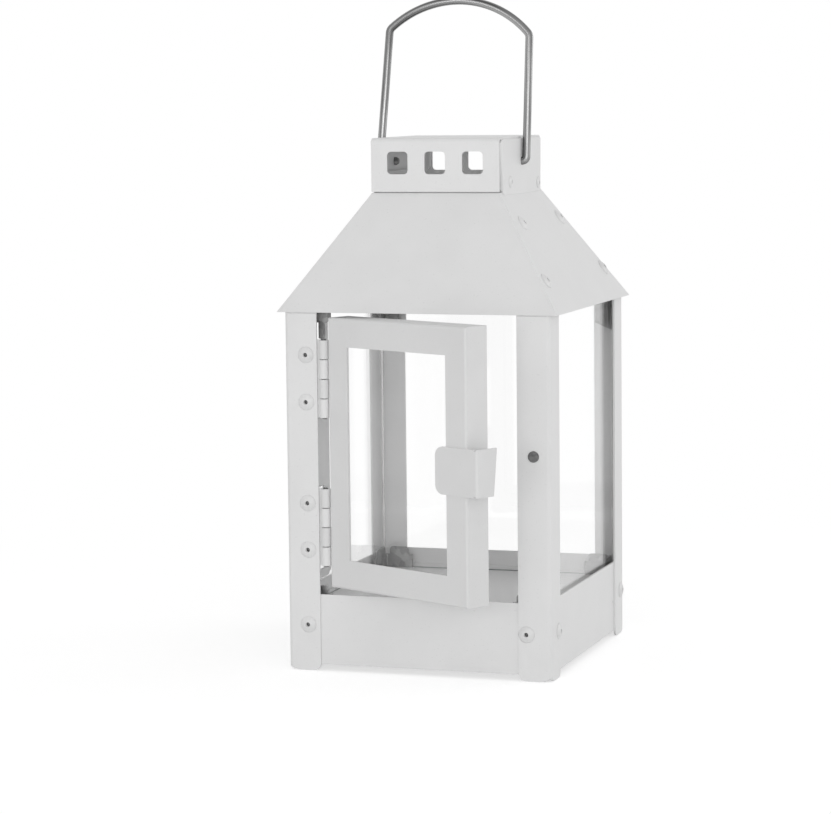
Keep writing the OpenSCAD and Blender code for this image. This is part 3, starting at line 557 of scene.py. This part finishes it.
def half_bail(arch, turn, shoulder, splay, tip):
    """The handle's middle line from the top of the arch to the inner tip: an arc of
    radius arch through turn degrees, the shoulder, a straight leg that leans out by
    splay, the lower bend and the end that runs in through the cap."""
    t, d = np.radians(turn), np.radians(splay)
    top = (0.0, BAIL_HIGH - arch)
    arch_end = np.array([arch * np.sin(t), top[1] + arch * np.cos(t)])
    middle = arch_end - shoulder * np.array([np.sin(t), np.cos(t)])
    leg_top = middle + shoulder * np.array([np.cos(d), np.sin(d)])
    foot_y = LEG_BEND * (1 + np.sin(d))
    foot_x = leg_top[0] + (leg_top[1] - foot_y) * np.tan(d)
    bend = (foot_x - LEG_BEND * np.cos(d), LEG_BEND)
    down = np.linspace(0, 1, LEG_POINTS)[1:-1, None]
    leg = leg_top + down * (np.array([foot_x, foot_y]) - leg_top)
    end_x = np.linspace(bend[0], tip, END_POINTS)[1:]
    return np.concatenate([arc(top, arch, 90, 90 - turn, ARCH_POINTS),
                           arc(middle, shoulder, 90 - turn, splay, SHOULDER_POINTS)[1:],
                           leg, arc(bend, LEG_BEND, splay, -90, BEND_POINTS),
                           np.stack([end_x, np.zeros_like(end_x)], -1)])


def wire_handle():
    """A round wire carried along the handle's middle line: each point is path +
    r (cos a * across + sin a * side). Each end is drawn in to a small round: r is the
    wire's radius times the root of 1 - n squared / 2, where n rises from 0 to 1 at
    the tip."""
    right = half_bail(arch=39.6, turn=47.89, shoulder=3.5, splay=0.0, tip=22.6)
    left = half_bail(arch=41.9, turn=41.3, shoulder=3.0, splay=3.0, tip=23.5) * (-1, 1)
    path = np.concatenate([left[::-1], right[1:]])
    along = np.gradient(path, axis=0)
    along /= np.linalg.norm(along, axis=1, keepdims=True)
    across = np.stack([-along[:, 1], along[:, 0]], -1)
    steps = np.linalg.norm(np.diff(path, axis=0), axis=1)
    length = np.concatenate([[0], np.cumsum(steps)])
    near_tip = np.clip(1 - np.minimum(length, length[-1] - length) / TIP_ROUND, 0, 1)
    radius = WIRE_RADIUS * np.sqrt(1 - near_tip ** 2 * 0.5)
    a = np.linspace(0, 2 * np.pi, WIRE_TURNS, endpoint=False)
    flat = path[:, None] + (radius[:, None] * np.cos(a))[..., None] * across[:, None]
    depth = radius[:, None] * np.sin(a)
    x, up = flat[..., 0] - BAIL_LEFT, flat[..., 1]
    c, s = np.cos(HANDLE_LEAN), np.sin(HANDLE_LEAN)
    points = np.stack([x, up * s - depth * c, PIVOT_Z + up * c + depth * s], -1)
    first = list(range(WIRE_TURNS))
    last = [(len(path) - 1) * WIRE_TURNS + k for k in reversed(first)]
    cells = ring_cells(len(path), WIRE_TURNS)
    mesh = mesh_from("handle_wire", points, cells, ends=(first, last))
    uv = mesh.uv_layers.new(name="wire")
    at = np.empty(len(mesh.loops), int)
    mesh.loops.foreach_get("vertex_index", at)
    column = at % WIRE_TURNS
    # the last column of cells ends at a full turn, not back at none
    by_cell = column[:cells.size].reshape(-1, 4)
    by_cell[(np.ptp(by_cell, axis=1) > 1)[:, None] & (by_cell == 0)] = WIRE_TURNS
    where = np.stack([length[at // WIRE_TURNS], column / WIRE_TURNS], -1)
    uv.data.foreach_set("uv", where.astype(np.float32).ravel())
    faced_out(mesh)
    obj = new_object("handle_wire", mesh, "handle", "steel_wire", WIRE)
    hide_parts("handle")


wire_handle()


def white_when_seen(tree):
    """1 where a ray comes from the camera, a reflection or glass, and 0 where it only
    gathers light: the highest of the three kinds of ray."""
    path = add(tree, "ShaderNodeLightPath")
    seen = add(tree, "ShaderNodeMath",
               {0: path.outputs["Is Camera Ray"], 1: path.outputs["Is Glossy Ray"]},
               operation="MAXIMUM")
    return add(tree, "ShaderNodeMath",
               {0: seen.outputs["Value"], 1: path.outputs["Is Transmission Ray"]},
               operation="MAXIMUM").outputs["Value"]


def floor_paint():
    """White studio floor. Near the lantern the camera sees it two thirds by its own
    white and the rest by the light that falls on it, so the shadow stays, and further
    out it fades to plain white. To the lantern it is a matt white that throws light
    back."""
    mat, tree = new_material("white_floor")
    spot = add(tree, "ShaderNodeTexCoord")
    away = add(tree, "ShaderNodeVectorMath", {0: spot.outputs["Object"]},
               operation="LENGTH")
    fade = add(tree, "ShaderNodeMapRange",
               {"Value": away.outputs["Value"], "From Min": 0.16, "From Max": 0.42},
               interpolation_type="SMOOTHSTEP")
    bounce = add(tree, "ShaderNodeBsdfDiffuse", {"Color": (0.9, 0.9, 0.9, 1)})
    lit = add(tree, "ShaderNodeBsdfDiffuse", {"Color": (0.5, 0.5, 0.5, 1)})
    glow = add(tree, "ShaderNodeEmission", {"Color": (1, 1, 1, 1), "Strength": 0.66})
    white = add(tree, "ShaderNodeEmission", {"Color": (1, 1, 1, 1), "Strength": 1.0})
    near = add(tree, "ShaderNodeAddShader",
               {0: lit.outputs["BSDF"], 1: glow.outputs["Emission"]})
    shown = add(tree, "ShaderNodeMixShader",
                {"Fac": fade.outputs["Result"], 1: near.outputs["Shader"],
                 2: white.outputs["Emission"]})
    floor = add(tree, "ShaderNodeMixShader",
                {"Fac": white_when_seen(tree), 1: bounce.outputs["BSDF"],
                 2: shown.outputs["Shader"]})
    add(tree, "ShaderNodeOutputMaterial", {"Surface": floor.outputs["Shader"]})
    return mat


# Floor: a wide disc, in metres, a twentieth of a millimetre below the feet.
FLOOR_RADIUS, FLOOR_DROP = 4.0, 0.00005
mesh = bpy.data.meshes.new("floor")
work = bmesh.new()
bmesh.ops.create_circle(work, cap_ends=True, segments=64, radius=FLOOR_RADIUS)
work.to_mesh(mesh)
work.free()
mesh.materials.append(floor_paint())
ground = bpy.data.objects.new("floor", mesh)
ground.location.z = -FLOOR_DROP
bpy.context.scene.collection.objects.link(ground)

# World: even soft light, and plain white wherever the camera or a reflection sees it.
world = bpy.data.worlds.new("studio")
bpy.context.scene.world = world
world.use_nodes = True
tree = world.node_tree
tree.nodes.clear()
strength = add(tree, "ShaderNodeMapRange",
               {"Value": white_when_seen(tree), "To Min": 0.62, "To Max": 1.0})
sky = add(tree, "ShaderNodeBackground",
          {"Color": (1, 1, 1, 1), "Strength": strength.outputs["Result"]})
add(tree, "ShaderNodeOutputWorld", {"Surface": sky.outputs["Background"]})


def area_lamp(name, place, aim, width, height, power):
    """A soft box of the given width and height at place, turned to aim."""
    lamp = bpy.data.lights.new(name, "AREA")
    lamp.shape = "RECTANGLE"
    lamp.size, lamp.size_y = width, height
    lamp.energy = power
    obj = bpy.data.objects.new(name, lamp)
    obj.matrix_world = Matrix.Translation(place) @ (
        Vector(aim) - Vector(place)).to_track_quat("-Z", "Y").to_matrix().to_4x4()
    bpy.context.scene.collection.objects.link(obj)


area_lamp("key", (1.1, -1.7, 0.9), (0, 0, 0.11), width=1.3, height=1.3, power=3.2)
area_lamp("low", (0.2, -1.7, 0.3), (0, 0, 0.05), width=1.6, height=0.5, power=7.3)
area_lamp("rear", (1.5, 0.9, 0.5), (0, 0, 0.1), width=1.0, height=1.0, power=5.4)

# Camera: the photograph's own viewpoint, found from the lantern's straight edges. Its
# axis passes AIM_LEFT to the left of a point AIM_HIGH over the lantern's middle, which
# is AWAY ahead of it, in metres. Its focal length was found in the photograph's pixels.
AZIMUTH, PITCH, ROLL = np.radians([18.01, 6.17, -0.62])
AIM_LEFT, AIM_HIGH, AWAY = 0.01782, 0.1002, 1.2094
FOCAL_PIXELS, PHOTO_WIDTH, FILM_WIDTH = 2974.07, 831, 36
ahead = Vector((-np.sin(AZIMUTH) * np.cos(PITCH), np.cos(AZIMUTH) * np.cos(PITCH),
                -np.sin(PITCH)))
level = Vector((np.cos(AZIMUTH), np.sin(AZIMUTH), 0))
upright = level.cross(ahead)
right = level * np.cos(ROLL) + upright * np.sin(ROLL)
top = upright * np.cos(ROLL) - level * np.sin(ROLL)
eye = level * -AIM_LEFT + Vector((0, 0, AIM_HIGH)) - ahead * AWAY
lens = bpy.data.cameras.new("camera")
lens.sensor_fit = "HORIZONTAL"
lens.sensor_width = FILM_WIDTH
lens.lens = FILM_WIDTH * FOCAL_PIXELS / PHOTO_WIDTH
camera = bpy.data.objects.new("camera", lens)
camera.matrix_world = Matrix((
    (right.x, top.x, -ahead.x, eye.x), (right.y, top.y, -ahead.y, eye.y),
    (right.z, top.z, -ahead.z, eye.z), (0, 0, 0, 1)))
bpy.context.scene.collection.objects.link(camera)
bpy.context.scene.camera = camera
bpy.context.scene.view_settings.view_transform = "Standard"
